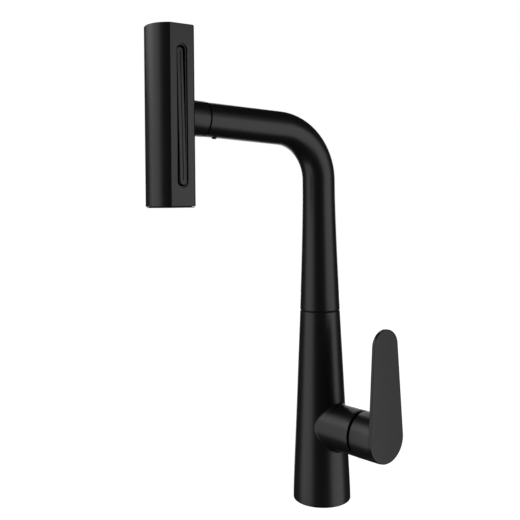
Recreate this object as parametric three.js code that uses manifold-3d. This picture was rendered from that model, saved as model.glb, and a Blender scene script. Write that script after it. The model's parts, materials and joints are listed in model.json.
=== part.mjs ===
// Tall single-lever kitchen mixer with a pull-out wand docked on the end of its arm.
// Millimetres, +Z up. The origin is the centre of the base's underside, on the worktop.
// The arm points along -Y and the lever's boss stands out on the +X side.
import * as THREE from 'three';
import { mergeVertices } from 'three/addons/utils/BufferGeometryUtils.js';
import Module from 'manifold-3d';

const wasm = await Module();
wasm.setup();

const DEG = Math.PI / 180;
const GAP = 0.3;                      // clearance between pieces that rest on each other
const ROUND = 24;                     // sides of the large round pieces
const SMALL = 16;                     // sides of the small round pieces

// Column, seen from the side: lower body to the swivel seam, then the tapered spout
const BASE_PROFILE = [[24.8, 0], [24.45, 15], [23.7, 32], [21.05, 85], [17.42, 163.7]];
const SEAM_LOW = 163.7;
const SEAM_HIGH = 164.7;
const SPOUT_PROFILE = [[17.35, SEAM_HIGH], [16.35, 190], [15.42, 215], [14.62, 240], [14.12, 262]];
const BODY_WALL = 3.2;
const SPOUT_WALL = 2;

// Bend and arm
const BEND_RADIUS = 44;
const BEND_START = 277.3;             // height where the column starts to bend
const ARM_RISE = 2.86 * DEG;          // the arm climbs slightly towards the head
const ARM_LENGTH = 72.3;              // straight length from the bend to the mouth
const BEND_TUBE_R = 14.1;
const MOUTH_R = 13.75;
const BEND_ANGLE = Math.PI / 2 - ARM_RISE;

// Swivel between the body and the spout
const BEARING_R = 14.4;               // bore of the body's top
const JOURNAL_R = 12.6;
const JOURNAL_BORE = 9.2;

// Side control: everything on it is turned about one level axis
const SIDE_HEIGHT = 65.8;
const SIDE_START = -3;                // its zero, from the column's axis; the distances below start there
const SIDE_YAW = 8.4 * DEG;
const BOSS_R = 19;
const BOSS_END = 49.4;
const CARTRIDGE_BORE = 14.4;
const CARTRIDGE_SEAT = 20;
const NUT_BORE = 16.6;
const PIVOT = 34.7;                   // where the lever tilts
const PORTS = [[6, 7.5], [6, -7.5], [-6, 0]];   // hot, cold and mixed, down and across
const CAP_START = 52;
const CAP_R = 19.1;
const CAP_END_R = 18.8;
const PADDLE_BACK = 73.4;
const PADDLE_FRONT = 76.4;
const PADDLE_LENGTH = 75.6;           // between the centres of its two round ends
const PADDLE_TOP_R = 13.5;
const PADDLE_WIDEN = 1.09;            // the paddle is this much wider than its round ends
const HUB_START = 60.2;
const HUB_R = 8.5;
const GRUB_AT = 66;                   // grub screw

// Fixing under the worktop
const WORKTOP = 38;
const SHANK_R = 16.5;
const SHANK_BORE = 14.6;
const SHANK_TOP = 13;
const SHANK_END = -66;
const CLAMP_SCREW_AT = 21.2;          // clamp screws, from the axis

// Hose
const HOSE_R = 6;
const HOSE_OFFSET = -8;               // beside the supply hoses in the shank
const HOSE_SPLIT = -62;               // the straight part that leaves with the head starts here

// Wand head, upright, with a round front and flat sides
const HEAD_BACK = 130.7;              // distances from the column's axis
const HEAD_TIP = 162.7;
const HEAD_HALF = 18.1;
const HEAD_FRONT_R = 20.2;
const HEAD_CORNER = 2.5;
const HEAD_BOTTOM = 255.3;
const HEAD_TOP = 394;
const SHELL_BOTTOM = 256.2;
const SHELL_WALL = 2.2;
const NECK_R = 14.1;

// Spray rocker in its long recess on the head's +X side
const RECESS_AT = 142.3;
const RECESS_WIDTH = 9.2;
const RECESS_LENGTH = 108.8;
const RECESS_SHELF = 16.8;            // x of the shallow recess's floor, round the rocker
const SLOT_WIDTH = 6.8;               // the deeper slot that the rocker moves in
const SLOT_LENGTH = 106.6;
const RECESS_FLOOR = 10.9;            // x of the slot's floor
const ROCKER_WIDTH = 6;
const ROCKER_LENGTH = 105;
const ROCKER_FACE = 17;               // x of its outer face when level
const ROCKER_THICK = 3.8;
const ROCKER_PIVOT_X = 12.8;
const ROCKER_TILT = 2 * DEG;          // it rests with the lower half out
const ROCKER_MID = (HEAD_BOTTOM + HEAD_TOP) / 2;
const SPOOL_X = 5.2;
const TRUNK_AT = 146.4;               // the waterway's trunk and the aerator below it
const DOCK_SCREW_AT = -9.9;           // along the arm, from the mouth

// Finishes
const finish = (color, roughness, metalness) => new THREE.MeshStandardMaterial({ color, roughness, metalness });
const BLACK_COAT = () => finish(0x1b1b1c, 0.42, 0.35);
const BLACK_PLASTIC = () => finish(0x151515, 0.55, 0);
const RUBBER = () => finish(0x0d0d0d, 0.85, 0);
const BRASS = () => finish(0xb08d4c, 0.35, 1);
const STEEL = () => finish(0xa9abad, 0.3, 1);
const WHITE_PLASTIC = () => finish(0xe4e2dc, 0.5, 0);
const GREY_PLASTIC = () => finish(0x6d7072, 0.5, 0);
const CERAMIC = () => finish(0xd9d4cb, 0.25, 0);
const FERRITE = () => finish(0x2b2b2d, 0.7, 0.2);
const BRAID = () => finish(0x202124, 0.7, 0);

// ---- Shapes ----

// A geometry as one closed surface with shared corners and its faces pointing out.
function closed(geometry) {
  const bare = new THREE.BufferGeometry();
  bare.setAttribute('position', geometry.getAttribute('position').clone());
  if (geometry.index) bare.setIndex(geometry.index.clone());
  const merged = mergeVertices(bare, 1e-4);
  const corners = merged.index.array;
  const point = [0, 1, 2].map(() => new THREE.Vector3());
  const kept = [];
  let volume = 0;
  for (let i = 0; i < corners.length; i += 3) {
    const face = [corners[i], corners[i + 1], corners[i + 2]];
    if (new Set(face).size < 3) continue;
    face.forEach((corner, k) => point[k].fromBufferAttribute(merged.attributes.position, corner));
    volume += point[0].dot(point[1].clone().cross(point[2]));
    kept.push(face);
  }
  merged.setIndex(kept.flatMap((face) => (volume < 0 ? [face[0], face[2], face[1]] : face)));
  return merged;
}

function toManifold(geometry) {
  const tidy = closed(geometry);
  return new wasm.Manifold(new wasm.Mesh({
    numProp: 3,
    vertProperties: new Float32Array(tidy.attributes.position.array),
    triVerts: new Uint32Array(tidy.index.array),
  }));
}

function fromManifold(manifold) {
  const mesh = manifold.getMesh();
  const geometry = new THREE.BufferGeometry();
  geometry.setAttribute('position', new THREE.BufferAttribute(new Float32Array(mesh.vertProperties), 3));
  geometry.setIndex(new THREE.BufferAttribute(new Uint32Array(mesh.triVerts), 1));
  return geometry;
}

const cut = (geometry, ...tools) =>
  fromManifold(tools.reduce((whole, tool) => whole.subtract(toManifold(tool)), toManifold(geometry)));
const join = (geometry, ...others) =>
  fromManifold(others.reduce((whole, other) => whole.add(toManifold(other)), toManifold(geometry)));

// A solid of revolution about Z, from [radius, height] points.
function turned(profile, sides = SMALL) {
  const points = profile.map(([radius, height]) => new THREE.Vector2(radius, height));
  return closed(new THREE.LatheGeometry(points, sides).rotateX(Math.PI / 2));
}

const rod = (radius, low, high, sides = SMALL) =>
  turned([[0, low], [radius, low], [radius, high], [0, high]], sides);
const ring = (inner, outer, low, high, sides = SMALL) =>
  turned([[inner, low], [outer, low], [outer, high], [inner, high], [inner, low]], sides);
const rodAlongX = (radius, low, high, sides = SMALL) => rod(radius, low, high, sides).rotateY(Math.PI / 2);
const rodAlongY = (radius, low, high, sides = SMALL) => rod(radius, low, high, sides).rotateX(-Math.PI / 2);

function block([x0, x1], [y0, y1], [z0, z1]) {
  const box = new THREE.BoxGeometry(x1 - x0, y1 - y0, z1 - z0);
  return closed(box.translate((x0 + x1) / 2, (y0 + y1) / 2, (z0 + z1) / 2));
}

function prism(shape, low, high, curveSegments = 8) {
  const settings = { depth: high - low, bevelEnabled: false, curveSegments };
  return closed(new THREE.ExtrudeGeometry(shape, settings).translate(0, 0, low));
}

// A flat outline around two circles, the first at the origin and the second at x = -length.
function taperedPill(startR, endR, length) {
  const lean = Math.asin((startR - endR) / length);
  const shape = new THREE.Shape();
  shape.absarc(0, 0, startR, -Math.PI / 2 - lean, Math.PI / 2 + lean, false);
  shape.absarc(-length, 0, endR, Math.PI / 2 + lean, 1.5 * Math.PI - lean, false);
  return shape;
}

// ---- The spout's centreline: up the column, round the bend and out along the arm ----

const COLUMN_LENGTH = BEND_START - SEAM_HIGH;
const BEND_LENGTH = BEND_RADIUS * BEND_ANGLE;

function centreline(distance) {
  const up = Math.min(distance, COLUMN_LENGTH);
  const turn = THREE.MathUtils.clamp((distance - COLUMN_LENGTH) / BEND_RADIUS, 0, BEND_ANGLE);
  const out = Math.max(distance - COLUMN_LENGTH - BEND_LENGTH, 0);
  const outward = new THREE.Vector3(0, -Math.sin(turn), Math.cos(turn));
  const point = new THREE.Vector3(0, -BEND_RADIUS * (1 - Math.cos(turn)), SEAM_HIGH + up);
  point.z += BEND_RADIUS * Math.sin(turn);
  return { point: point.addScaledVector(outward, out), along: outward };
}

// Lays a straight geometry, standing along Z from the seam, along the centreline.
function bendAlong(geometry) {
  const position = geometry.attributes.position;
  const across = new THREE.Vector3(1, 0, 0);
  for (let i = 0; i < position.count; i++) {
    const { point, along } = centreline(position.getZ(i));
    const side = along.clone().cross(across);
    point.addScaledVector(across, position.getX(i)).addScaledVector(side, position.getY(i));
    position.setXYZ(i, point.x, point.y, point.z);
  }
  return geometry;
}

const arm = new THREE.Group();
const mouth = centreline(COLUMN_LENGTH + BEND_LENGTH + ARM_LENGTH).point;
arm.position.copy(mouth);
arm.rotation.x = BEND_ANGLE;
arm.updateMatrix();

const side = new THREE.Group();
side.position.set(SIDE_START * Math.cos(SIDE_YAW), SIDE_START * Math.sin(SIDE_YAW), SIDE_HEIGHT);
side.rotation.set(0, Math.PI / 2, SIDE_YAW, 'ZYX');
side.updateMatrix();

// ---- Building the group ----

const faucet = new THREE.Group();
faucet.add(arm, side);

function piece(name, geometry, material, parent = faucet) {
  const mesh = new THREE.Mesh(geometry, material);
  mesh.name = name;
  parent.add(mesh);
}

// ---- Body ----

function bodyCavity() {
  const shrink = ([radius, height]) => [radius - BODY_WALL, height];
  const inside = BASE_PROFILE.slice(1, 4).map(shrink);
  return turned([[0, 15], ...inside, [16.4, 112], [12, 112], [12, 120], [BEARING_R, 120],
    [BEARING_R, SEAM_LOW + 1], [0, SEAM_LOW + 1]], ROUND);
}

function waterways() {
  const [hotDown, across] = PORTS[0];
  const low = SIDE_HEIGHT - hotDown;
  const high = SIDE_HEIGHT + hotDown;
  const channels = [
    [rod(3, 10, low + 3).translate(7, across, 0), rodAlongX(3, 4.5, 22).translate(0, across, low)],
    [rod(3, 10, low + 3).translate(7, -across, 0), rodAlongX(3, 4.5, 22).translate(0, -across, low)],
    [rod(3, 10, high + 3).translate(10.1, 0, 0), rodAlongX(3, 8, 22).translate(0, 0, high)],
  ];
  return channels.map(([down, level]) => join(down, level).rotateZ(SIDE_YAW));
}

function baseBody() {
  const column = turned([[0, 0], ...BASE_PROFILE, [0, SEAM_LOW]], ROUND);
  const boss = rod(BOSS_R, -SIDE_START, BOSS_END, ROUND).applyMatrix4(side.matrix);
  const manifoldBlock = block([3.4, 26], [-13.5, 13.5], [16, 84]).rotateZ(SIDE_YAW);
  const outside = join(column, boss);
  const cartridgeRoom = turned([[0, CARTRIDGE_SEAT], [CARTRIDGE_BORE, CARTRIDGE_SEAT], [CARTRIDGE_BORE, 43.5],
    [NUT_BORE, 43.5], [NUT_BORE, BOSS_END + 1], [0, BOSS_END + 1]], ROUND).applyMatrix4(side.matrix);
  return cut(outside, cut(bodyCavity(), manifoldBlock), cartridgeRoom, ...waterways(),
    rod(SHANK_R + GAP, -1, 15.5, ROUND), ring(19.2, 22.2, -1, 1.6, ROUND));
}

function bodyPieces() {
  piece('base_body', baseBody(), BLACK_COAT());
  piece('base_gasket', ring(19.5, 21.9, 0, 1.3, ROUND), RUBBER());
  piece('lower_slide_bush', ring(JOURNAL_R + GAP, BEARING_R - GAP, 127, 136, ROUND), WHITE_PLASTIC());
  piece('upper_slide_bush', ring(JOURNAL_R + GAP, BEARING_R - GAP, 149, 163.4, ROUND), WHITE_PLASTIC());
  piece('seam_washer', ring(13, 16.6, 164, 164.4, ROUND), RUBBER());
}

// ---- Fixing and inlets ----

function inletNipple(x, y) {
  const profile = [[1.9, 0], [2.8, 0], [3.4, 3], [2.9, 3], [3.4, 6], [2.9, 6], [2.9, 11.5], [3.9, 11.5],
    [3.9, 15.7], [2.7, 15.7], [2.7, 26], [1.9, 26], [1.9, 0]];
  return turned(profile, 12).translate(x, y, 0).rotateZ(SIDE_YAW);
}

function mountingNut() {
  const hexagon = turned([[0, -51.5], [25.4, -51.5], [25.4, -44.2], [0, -44.2]], 6);
  const screwHole = () => rod(2.4, -53, -43, 12);
  return cut(hexagon, rod(SHANK_R + GAP, -53, -43, ROUND), screwHole().translate(0, CLAMP_SCREW_AT, 0),
    screwHole().translate(0, -CLAMP_SCREW_AT, 0));
}

function clampScrew(y) {
  const screw = turned([[0, -62], [3.9, -62], [3.9, -59], [2.1, -59], [2.1, -45], [1.2, -44.1], [0, -44.1]], 12);
  return cut(screw, block([-5, 5], [-0.6, 0.6], [-63, -60.6])).translate(0, y, 0);
}

function fixingPieces() {
  const [, across] = PORTS[0];
  piece('mounting_shank', ring(SHANK_BORE, SHANK_R, SHANK_END, SHANK_TOP, ROUND), BRASS());
  piece('worktop_washer', ring(17, 27, -WORKTOP - 3, -WORKTOP, ROUND), RUBBER());
  piece('clamp_plate', ring(17, 27, -WORKTOP - 5.8, -WORKTOP - 3.3, ROUND), STEEL());
  piece('mounting_nut', mountingNut(), BRASS());
  piece('clamp_screw_front', clampScrew(-CLAMP_SCREW_AT), STEEL());
  piece('clamp_screw_rear', clampScrew(CLAMP_SCREW_AT), STEEL());
  piece('hot_inlet_nipple', inletNipple(7, across), BRASS());
  piece('cold_inlet_nipple', inletNipple(7, -across), BRASS());
  piece('mixed_outlet_nipple', inletNipple(10.1, 0), BRASS());
}

// ---- Cartridge, along the side control's own axis (x is down, y is to the rear) ----

const ported = (disc) => cut(disc, ...PORTS.map(([down, across]) => rod(2.2, 0, 60, 10).translate(down, across, 0)));

function rotor() {
  const slot = block([-4.2, 7.3], [-3.9, 3.9], [30, 43]);
  return cut(rod(12.6, 32, 41, ROUND), slot, rodAlongY(1.5, -14, 14, 12).translate(0, 0, PIVOT));
}

function leverStem() {
  const square = block([-3.5, 3.5], [-3.5, 3.5], [33, 68]);
  const neck = rod(1.3, 30.6, 33.5, 12);
  const ball = closed(new THREE.SphereGeometry(1.6, 12, 8).translate(0, 0, 30.6));
  return cut(join(square, neck, ball), rodAlongY(1.5, -5, 5, 12).translate(0, 0, PIVOT));
}

function domeArc(radius, from, to, steps) {
  const start = Math.acos((from - PIVOT) / radius);
  const end = Math.acos((to - PIVOT) / radius);
  return Array.from({ length: steps + 1 }, (_, i) => {
    const angle = THREE.MathUtils.lerp(start, end, i / steps);
    return [radius * Math.sin(angle), PIVOT + radius * Math.cos(angle)];
  });
}

function trimSleeve() {
  const outer = domeArc(23, 50, 53.2, 3);
  const inner = domeArc(21.6, 50, 51.5, 2).reverse();
  return turned([...outer, ...inner, outer[0]], ROUND);
}

function cartridgePieces() {
  const housing = [[14, 23.7], [14, 43.2], [9.1, 43.2], [9.1, 41.4], [13, 41.4], [13, 23.7], [14, 23.7]];
  const carrier = cut(rod(8.4, 28.7, 31.6, SMALL), block([-1.9, 1.9], [-1.9, 1.9], [28, 32]));
  const channel = taperedPill(2.2, 2.2, 6).getPoints(4);
  const movingDisc = cut(rod(8.4, 26.2, 28.4, SMALL),
    prism(new THREE.Shape(channel), 25, 27.3, 4).translate(3, 0, 0));
  piece('cartridge_seal', ported(rod(13.9, 20.3, 21.3, ROUND)), RUBBER(), side);
  piece('cartridge_base', ported(rod(14, 21.6, 23.4, ROUND)), GREY_PLASTIC(), side);
  piece('fixed_disc', ported(rod(12.6, 23.7, 25.9, ROUND)), CERAMIC(), side);
  piece('moving_disc', movingDisc, CERAMIC(), side);
  piece('disc_carrier', carrier, WHITE_PLASTIC(), side);
  piece('cartridge_housing', turned(housing, ROUND), GREY_PLASTIC(), side);
  piece('cartridge_rotor', rotor(), WHITE_PLASTIC(), side);
  piece('stem_pin', rodAlongY(1.2, -9, 9, 12).translate(0, 0, PIVOT), STEEL(), side);
  piece('lever_stem', leverStem(), BRASS(), side);
  piece('cartridge_nut', ring(11.8, 16.3, 43.6, 49.2, ROUND), BRASS(), side);
  piece('trim_sleeve', trimSleeve(), BLACK_PLASTIC(), side);
}

// ---- Lever: a round cap and a long flat paddle in one casting ----

function leverHandle() {
  const cap = turned([[0, CAP_START], [CAP_R, CAP_START], [CAP_END_R, PADDLE_BACK + 0.5], [0, PADDLE_BACK + 0.5]], ROUND);
  const hollow = turned([[0, CAP_START - 1], [18.1, CAP_START - 1], [18.1, 57], [17.2, HUB_START], [17.2, 71],
    [HUB_R, 71], [HUB_R, HUB_START], [0, HUB_START]], ROUND);
  const outline = taperedPill(CAP_END_R, PADDLE_TOP_R, PADDLE_LENGTH);
  const paddle = prism(outline, PADDLE_BACK, PADDLE_FRONT, 10).scale(1, PADDLE_WIDEN, 1);
  const rib = rodAlongY(4.2, 7, 17.8, SMALL).translate(0, 0, GRUB_AT);
  const socket = block([-3.8, 3.8], [-3.8, 3.8], [59, 68.5]);
  const screwHole = rodAlongY(2.8, 3, 21, SMALL).translate(0, 0, GRUB_AT);
  return cut(join(cut(cap, hollow), paddle.translate(-0.6, 0, 0), rib), socket, screwHole);
}

function grubScrew() {
  const hexKey = rod(1.3, 8, 11, 6);
  return cut(rod(2.5, 3.85, 10, SMALL), hexKey).rotateX(-Math.PI / 2).translate(0, 0, GRUB_AT);
}

function leverPieces() {
  piece('lever_handle', leverHandle(), BLACK_COAT(), side);
  piece('lever_grub_screw', grubScrew(), STEEL(), side);
  piece('index_plug', rodAlongY(2.5, 15.5, 18.9, SMALL).translate(0, 0, GRUB_AT), BLACK_PLASTIC(), side);
}

// ---- Spout ----

// [radius, distance along the centreline] from the seam to the mouth
function spoutOutside() {
  const column = SPOUT_PROFILE.map(([radius, height]) => [radius, height - SEAM_HIGH]);
  const bend = Array.from({ length: 9 }, (_, i) => [BEND_TUBE_R, COLUMN_LENGTH + (BEND_LENGTH * i) / 8]);
  return [...column, ...bend, [MOUTH_R, COLUMN_LENGTH + BEND_LENGTH + ARM_LENGTH]];
}

function spoutTube() {
  const outside = spoutOutside();
  const inside = outside.map(([radius, along]) => [radius - SPOUT_WALL, along]).reverse();
  const tube = bendAlong(turned([...outside, ...inside, outside[0]], ROUND));
  const dockScrewHole = rodAlongY(1.5, -16, -9, 10).translate(0, 0, DOCK_SCREW_AT).applyMatrix4(arm.matrix);
  return cut(tube, rodAlongY(2.3, 10, 20, 12).translate(0, 0, 175), dockScrewHole);
}

function swivelJournal() {
  const profile = [[JOURNAL_BORE, 121], [JOURNAL_R, 121], [JOURNAL_R, 123], [11, 123], [11, 125.4], [JOURNAL_R, 125.4],
    [JOURNAL_R, 140], [11.4, 140], [11.4, 143], [JOURNAL_R, 143], [JOURNAL_R, 165], [14.1, 165], [14.1, 186],
    [JOURNAL_BORE, 186], [JOURNAL_BORE, 121]];
  return cut(turned(profile, ROUND), rodAlongY(2.3, 11.5, 16, 12).translate(0, 0, 175));
}

function dockInsert() {
  const profile = [[8.4, -28], [11.3, -28], [11.3, -0.4], [10, -0.4], [10, -26], [8.4, -26], [8.4, -28]];
  return cut(turned(profile, ROUND), rodAlongY(1.5, -13, -9, 10).translate(0, 0, DOCK_SCREW_AT));
}

function dockScrew() {
  const profile = [[0, 10.15], [1.2, 10.15], [1.2, 14], [2.1, 14], [1.7, 14.7], [0, 14.7]];
  return turned(profile, 12).rotateX(Math.PI / 2).translate(0, 0, DOCK_SCREW_AT);
}

function spoutPieces() {
  piece('spout_tube', spoutTube(), BLACK_COAT());
  piece('swivel_journal', swivelJournal(), BRASS());
  piece('journal_clip', ring(11.3, 13.8, 123.3, 125.1, SMALL), STEEL());
  piece('journal_o_ring', ring(11.7, 14, 140.3, 142.7, ROUND), RUBBER());
  piece('spout_set_screw', rodAlongY(2, 12.2, 16.4, 12).translate(0, 0, 175), STEEL());
  piece('dock_insert', dockInsert(), BLACK_PLASTIC(), arm);
  piece('dock_magnet', ring(7, 9.7, -25.6, -19.6, SMALL), FERRITE(), arm);
  piece('dock_seal', ring(10.4, 13.2, 0.25, 0.75, ROUND), RUBBER(), arm);
  piece('dock_screw', dockScrew(), STEEL(), arm);
}

// ---- Hose ----

function hoseAlong(points, steps) {
  const route = new THREE.CatmullRomCurve3(points.map(([y, z, x]) => new THREE.Vector3(x, y, z)));
  const section = new THREE.Shape().absarc(0, 0, HOSE_R, 0, 2 * Math.PI, false);
  const settings = { steps, extrudePath: route, curveSegments: 5 };
  return closed(new THREE.ExtrudeGeometry(section, settings));
}

// From its coupling under the worktop up to the seam, where it meets the upper hose on the swivel's axis.
function lowerHose() {
  const rise = [-74, -40, 0, 40, 70, 90, 105, 118, 130, 145, 155, 164.4];
  const shift = (z) => HOSE_OFFSET * (1 - THREE.MathUtils.smoothstep(z, 62, 122));
  return hoseAlong(rise.map((z) => [0, z, shift(z)]), 18);
}

function upperHose() {
  const length = COLUMN_LENGTH + BEND_LENGTH + ARM_LENGTH + HOSE_SPLIT - GAP;
  const rings = [0, ...Array.from({ length: 11 }, (_, i) => COLUMN_LENGTH + (BEND_LENGTH * i) / 10), length];
  return bendAlong(turned([[0, 0], ...rings.map((along) => [HOSE_R, along]), [0, length]], 12));
}

function hoseCoupling() {
  const profile = [[3.5, -97], [4.6, -97], [4.6, -88], [5.4, -88], [5.4, -84], [8.4, -84], [8.4, -77], [7.4, -77],
    [7.4, -68], [6.3, -68], [6.3, -74.4], [3.5, -74.4], [3.5, -97]];
  return turned(profile, SMALL).translate(HOSE_OFFSET, 0, 0);
}

function hosePieces() {
  piece('lower_hose', lowerHose(), BRAID());
  piece('hose_coupling', hoseCoupling(), BRASS());
  piece('upper_hose', upperHose(), BRAID());
  piece('front_hose', rod(HOSE_R, HOSE_SPLIT, -14.3, 12), BRAID(), arm);
}

// ---- Wand head ----

// The head's outline seen from above, drawn inset from its outer surface.
function headOutline(inset) {
  const half = HEAD_HALF - inset;
  const back = -HEAD_BACK - inset;
  const radius = HEAD_FRONT_R - inset;
  const centre = -HEAD_TIP + HEAD_FRONT_R;
  const turn = Math.asin(half / radius);
  const shape = new THREE.Shape();
  shape.moveTo(-half + HEAD_CORNER, back);
  shape.lineTo(half - HEAD_CORNER, back);
  shape.absarc(half - HEAD_CORNER, back - HEAD_CORNER, HEAD_CORNER, Math.PI / 2, 0, true);
  shape.absarc(0, centre, radius, -Math.PI / 2 + turn, -Math.PI / 2 - turn, true);
  shape.absarc(-half + HEAD_CORNER, back - HEAD_CORNER, HEAD_CORNER, Math.PI, Math.PI / 2, true);
  return shape;
}

// A long pill standing upright, its flat faces looking along X, centred on the rocker's pivot.
function uprightPill(width, length, x0, x1) {
  const between = length - width;
  const pill = prism(taperedPill(width / 2, width / 2, between), x0, x1, 6).translate(between / 2, 0, 0);
  return pill.rotateY(Math.PI / 2).translate(0, -RECESS_AT, ROCKER_MID);
}

const armRod = (radius, low, high, sides) => rod(radius, low, high, sides).applyMatrix4(arm.matrix);
const atRecess = (xs, halfWidth, halfHeight) =>
  block(xs, [-RECESS_AT - halfWidth, -RECESS_AT + halfWidth], [ROCKER_MID - halfHeight, ROCKER_MID + halfHeight]);

function headShell() {
  const hollow = prism(headOutline(SHELL_WALL), SHELL_BOTTOM - 1, HEAD_TOP - 2.4, 6);
  const shell = cut(prism(headOutline(0), SHELL_BOTTOM, HEAD_TOP, 8), hollow);
  const backing = uprightPill(RECESS_WIDTH + 3, RECESS_LENGTH + 3, RECESS_FLOOR - 1.8, 17);
  const recess = uprightPill(RECESS_WIDTH, RECESS_LENGTH, RECESS_SHELF, 20);
  const slot = uprightPill(SLOT_WIDTH, SLOT_LENGTH, RECESS_FLOOR, RECESS_SHELF + 1);
  const pinHole = rodAlongY(1.2, -6.2, 6.2, 10).translate(ROCKER_PIVOT_X, -RECESS_AT, ROCKER_MID);
  const neckHole = armRod(8.7, 13, 22, ROUND);
  return cut(join(shell, backing), recess, slot, atRecess([7.6, 11.6], 3.3, 5), pinHole, neckHole);
}

function neckCollar() {
  const profile = [[7.4, -17.6], [9.6, -17.6], [9.6, 1], [NECK_R, 1], [NECK_R, 18.4], [8.4, 18.4], [8.4, 22.6], [4.4, 22.6],
    [4.4, 12], [7.4, 12], [7.4, -17.6]];
  const collar = turned(profile, ROUND).applyMatrix4(arm.matrix);
  const behindHead = cut(block([-16, 16], [-HEAD_BACK - 3, -HEAD_BACK + GAP], [300, 350]), armRod(8.41, 12, 24, ROUND));
  return cut(collar, behindHead);
}

function rocker() {
  const bar = uprightPill(ROCKER_WIDTH, ROCKER_LENGTH, ROCKER_FACE - ROCKER_THICK, ROCKER_FACE);
  const lug = atRecess([11, ROCKER_FACE - 1], 2.6, 2.6);
  const finger = atRecess([SPOOL_X + 1.4, 11.4], 1.5, 1.5);
  const groove = uprightPill(1, 98, ROCKER_FACE - 0.6, ROCKER_FACE + 1);
  const pinHole = rodAlongY(1.2, -4, 4, 10).translate(ROCKER_PIVOT_X, -RECESS_AT, ROCKER_MID);
  const level = cut(join(bar, lug, finger), groove, pinHole);
  const toPivot = new THREE.Matrix4().makeTranslation(-ROCKER_PIVOT_X, 0, -ROCKER_MID);
  const back = new THREE.Matrix4().makeTranslation(ROCKER_PIVOT_X, 0, ROCKER_MID);
  return level.applyMatrix4(toPivot).rotateY(-ROCKER_TILT).applyMatrix4(back);
}

function headWaterway() {
  const trunk = rod(8.4, 266.7, 353, SMALL).translate(0, -TRUNK_AT, 0);
  const valveBox = rod(3.4, 301, 349, SMALL).translate(SPOOL_X, -RECESS_AT, 0);
  const inlet = armRod(6.4, 23, 31, SMALL);
  const inletBore = armRod(3.2, 22, 32, SMALL);
  const mainBore = rod(4.2, 265, 345, SMALL).translate(-1, -TRUNK_AT - 2, 0);
  const spoolBore = rod(2.6, 305, 351, SMALL).translate(SPOOL_X, -RECESS_AT, 0);
  return cut(join(trunk, valveBox, inlet), inletBore, mainBore, spoolBore, atRecess([SPOOL_X, 12.6], 3, 4));
}

function diverterSpool() {
  const profile = [[0, 307], [2.2, 307], [2.2, 322.2], [1.1, 322.2], [1.1, 327.2], [2.2, 327.2], [2.2, 347], [0, 347]];
  return turned(profile, 12).translate(SPOOL_X, -RECESS_AT, 0);
}

// The nozzles stand in an arc in front of and beside the aerator.
const NOZZLES = Array.from({ length: 9 }, (_, i) => {
  const angle = THREE.MathUtils.lerp(-205, 25, i / 8) * DEG;
  return [12.9 * Math.cos(angle), -TRUNK_AT + 12 * Math.sin(angle)];
});

function sprayFace() {
  const lip = prism(headOutline(0.9), HEAD_BOTTOM, 255.9, 8);
  const plug = prism(headOutline(SHELL_WALL + 0.4), 255.7, 259.1, 6);
  const aeratorHole = rod(8.9, 250, 260, SMALL).translate(0, -TRUNK_AT, 0);
  return cut(join(lip, plug), aeratorHole, ...NOZZLES.map(([x, y]) => rod(1.3, 250, 260, 6).translate(x, y, 0)));
}

function nozzleMat() {
  const sheet = cut(prism(headOutline(SHELL_WALL + 1), 259.4, 260.9, 4), rod(8.9, 250, 262, SMALL).translate(0, -TRUNK_AT, 0));
  return join(sheet, ...NOZZLES.map(([x, y]) => rod(0.9, 255.4, 260.2, 6).translate(x, y, 0)));
}

function aerator() {
  const profile = [[5, 255.9], [8.5, 255.9], [8.5, 266.3], [5, 266.3], [5, 260.7], [6.8, 259.2], [6.8, 257.1], [5, 255.9]];
  return turned(profile, SMALL).translate(0, -TRUNK_AT, 0);
}

function headPieces() {
  const pin = rodAlongY(0.9, -5.9, 5.9, 10).translate(ROCKER_PIVOT_X, -RECESS_AT, ROCKER_MID);
  piece('head_shell', headShell(), BLACK_COAT());
  piece('neck_collar', neckCollar(), BLACK_COAT());
  piece('neck_nut', ring(8.7, 10.2, 20.3, 21.8, SMALL), BRASS(), arm);
  piece('catch_ring', ring(7.7, 9.5, -19.3, -17.9, SMALL), STEEL(), arm);
  piece('hose_end_fitting', ring(4.2, 7, -14, 11.7, SMALL), BRASS(), arm);
  piece('check_valve', rod(3.8, 1, 9, 12), WHITE_PLASTIC(), arm);
  piece('head_waterway', headWaterway(), GREY_PLASTIC());
  piece('diverter_spool', diverterSpool(), STEEL());
  piece('spray_rocker', rocker(), BLACK_COAT());
  piece('rocker_pin', pin, STEEL());
  piece('spray_face', sprayFace(), BLACK_PLASTIC());
  piece('nozzle_mat', nozzleMat(), RUBBER());
  piece('aerator', aerator(), GREY_PLASTIC());
  piece('aerator_screen', rod(4.8, 256.7, 257.9, SMALL).translate(0, -TRUNK_AT, 0), STEEL());
}

bodyPieces();
fixingPieces();
cartridgePieces();
leverPieces();
spoutPieces();
hosePieces();
headPieces();

export default faucet;
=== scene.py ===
"""A tall matte-black kitchen mixer with a pull-out wand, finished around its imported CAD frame."""
import json
import math

import bmesh
import bpy
from mathutils import Matrix, Vector


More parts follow.
